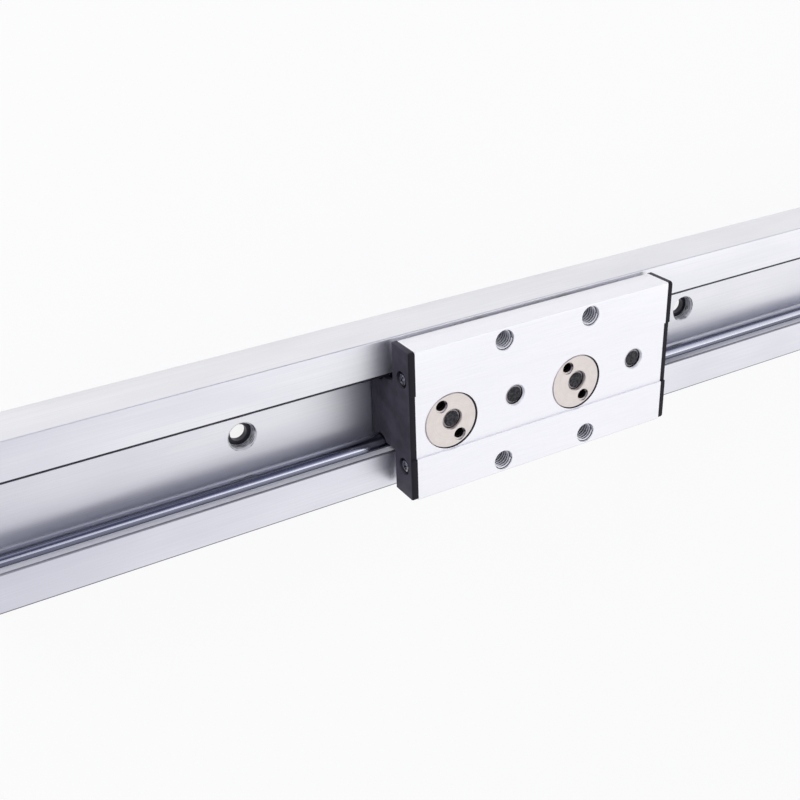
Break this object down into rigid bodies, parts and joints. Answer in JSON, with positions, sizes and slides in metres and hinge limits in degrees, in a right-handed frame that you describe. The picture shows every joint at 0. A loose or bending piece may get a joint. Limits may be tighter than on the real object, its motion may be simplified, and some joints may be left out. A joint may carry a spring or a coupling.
{
  "type": "linear guide",
  "caption": "Dual-axis linear guide: a channel rail with two inlaid round shafts and a flat carriage on grooved track rollers, with eccentric adjusters and tapped mounting holes.",
  "frame": {"origin": "middle of the rail's back face, halfway along the rail between its two bolt holes", "axes": "+X along the rail and the carriage's travel, +Y across the rail, +Z out of the rail's back towards the carriage's mounting face"},
  "size_m": [0.423, 0.062, 0.0364],
  "materials": {
    "rail_aluminium": "satin anodised",
    "plate_aluminium": "fine milled",
    "shaft_steel": "ground and polished",
    "cap_plastic": "moulded",
    "black_steel": "black oxide",
    "bearing_steel": "ground",
    "shield_steel": "rolled sheet",
    "cage_brass": "pressed",
    "disc_steel": "nickel plated"
  },
  "bodies": {
    "rail": {"rail_extrusion": "rail_aluminium", "guide_shaft_upper": "shaft_steel", "guide_shaft_lower": "shaft_steel"},
    "carriage": {"carriage_plate": "plate_aluminium", "end_cap_left": "cap_plastic", "end_cap_right": "cap_plastic", "end_cap_screws_left": "black_steel", "end_cap_screws_right": "black_steel", "roller_2_inner_ring": "bearing_steel", "roller_2_spacer": "disc_steel", "roller_2_axle_screw": "black_steel", "roller_4_inner_ring": "bearing_steel", "roller_4_spacer": "disc_steel", "roller_4_axle_screw": "black_steel"},
    "eccentric_1": {"eccentric_disc_1": "disc_steel", "roller_1_inner_ring": "bearing_steel", "roller_1_spacer": "disc_steel", "roller_1_axle_screw": "black_steel"},
    "eccentric_3": {"eccentric_disc_3": "disc_steel", "roller_3_inner_ring": "bearing_steel", "roller_3_spacer": "disc_steel", "roller_3_axle_screw": "black_steel"},
    "roller_1": {"roller_1_outer_ring": "bearing_steel", "roller_1_shields": "shield_steel"},
    "ball_cage_1": {"roller_1_balls": "bearing_steel", "roller_1_cage": "cage_brass"},
    "roller_2": {"roller_2_outer_ring": "bearing_steel", "roller_2_shields": "shield_steel"},
    "ball_cage_2": {"roller_2_balls": "bearing_steel", "roller_2_cage": "cage_brass"},
    "roller_3": {"roller_3_outer_ring": "bearing_steel", "roller_3_shields": "shield_steel"},
    "ball_cage_3": {"roller_3_balls": "bearing_steel", "roller_3_cage": "cage_brass"},
    "roller_4": {"roller_4_outer_ring": "bearing_steel", "roller_4_shields": "shield_steel"},
    "ball_cage_4": {"roller_4_balls": "bearing_steel", "roller_4_cage": "cage_brass"}
  },
  "joints": [
    {"name": "carriage_slide", "type": "slide", "parent": "rail", "child": "carriage", "axis": [1, 0, 0], "range_m": [-0.159, 0.1415]},
    {"name": "eccentric_1_turn", "type": "hinge", "parent": "carriage", "child": "eccentric_1", "pos_m": [-0.0347, -0.00135, 0.03], "axis": [0, 0, 1], "range_deg": [0, 120]},
    {"name": "eccentric_3_turn", "type": "hinge", "parent": "carriage", "child": "eccentric_3", "pos_m": [0.0233, -0.00135, 0.03], "axis": [0, 0, 1], "range_deg": [0, 120]},
    {"name": "roller_1_spin", "type": "hinge", "parent": "eccentric_1", "child": "roller_1", "pos_m": [-0.03409, -0.001, 0.0131], "axis": [0, 0, 1], "continuous": true},
    {"name": "ball_cage_1_orbit", "type": "hinge", "parent": "eccentric_1", "child": "ball_cage_1", "pos_m": [-0.03409, -0.001, 0.0131], "axis": [0, 0, 1], "continuous": true},
    {"name": "roller_2_spin", "type": "hinge", "parent": "carriage", "child": "roller_2", "pos_m": [-0.0057, 0.001, 0.0131], "axis": [0, 0, 1], "continuous": true},
    {"name": "ball_cage_2_orbit", "type": "hinge", "parent": "carriage", "child": "ball_cage_2", "pos_m": [-0.0057, 0.001, 0.0131], "axis": [0, 0, 1], "continuous": true},
    {"name": "roller_3_spin", "type": "hinge", "parent": "eccentric_3", "child": "roller_3", "pos_m": [0.02391, -0.001, 0.0131], "axis": [0, 0, 1], "continuous": true},
    {"name": "ball_cage_3_orbit", "type": "hinge", "parent": "eccentric_3", "child": "ball_cage_3", "pos_m": [0.02391, -0.001, 0.0131], "axis": [0, 0, 1], "continuous": true},
    {"name": "roller_4_spin", "type": "hinge", "parent": "carriage", "child": "roller_4", "pos_m": [0.0523, 0.001, 0.0131], "axis": [0, 0, 1], "continuous": true},
    {"name": "ball_cage_4_orbit", "type": "hinge", "parent": "carriage", "child": "ball_cage_4", "pos_m": [0.0523, 0.001, 0.0131], "axis": [0, 0, 1], "continuous": true}
  ],
  "couplings": [
    {"joint": "roller_1_spin", "follows": "carriage_slide", "rad_per_m": -88.889},
    {"joint": "ball_cage_1_orbit", "follows": "carriage_slide", "rad_per_m": -54.545},
    {"joint": "roller_2_spin", "follows": "carriage_slide", "rad_per_m": 88.889},
    {"joint": "ball_cage_2_orbit", "follows": "carriage_slide", "rad_per_m": 54.545},
    {"joint": "roller_3_spin", "follows": "carriage_slide", "rad_per_m": -88.889},
    {"joint": "ball_cage_3_orbit", "follows": "carriage_slide", "rad_per_m": -54.545},
    {"joint": "roller_4_spin", "follows": "carriage_slide", "rad_per_m": 88.889},
    {"joint": "ball_cage_4_orbit", "follows": "carriage_slide", "rad_per_m": 54.545}
  ]
}
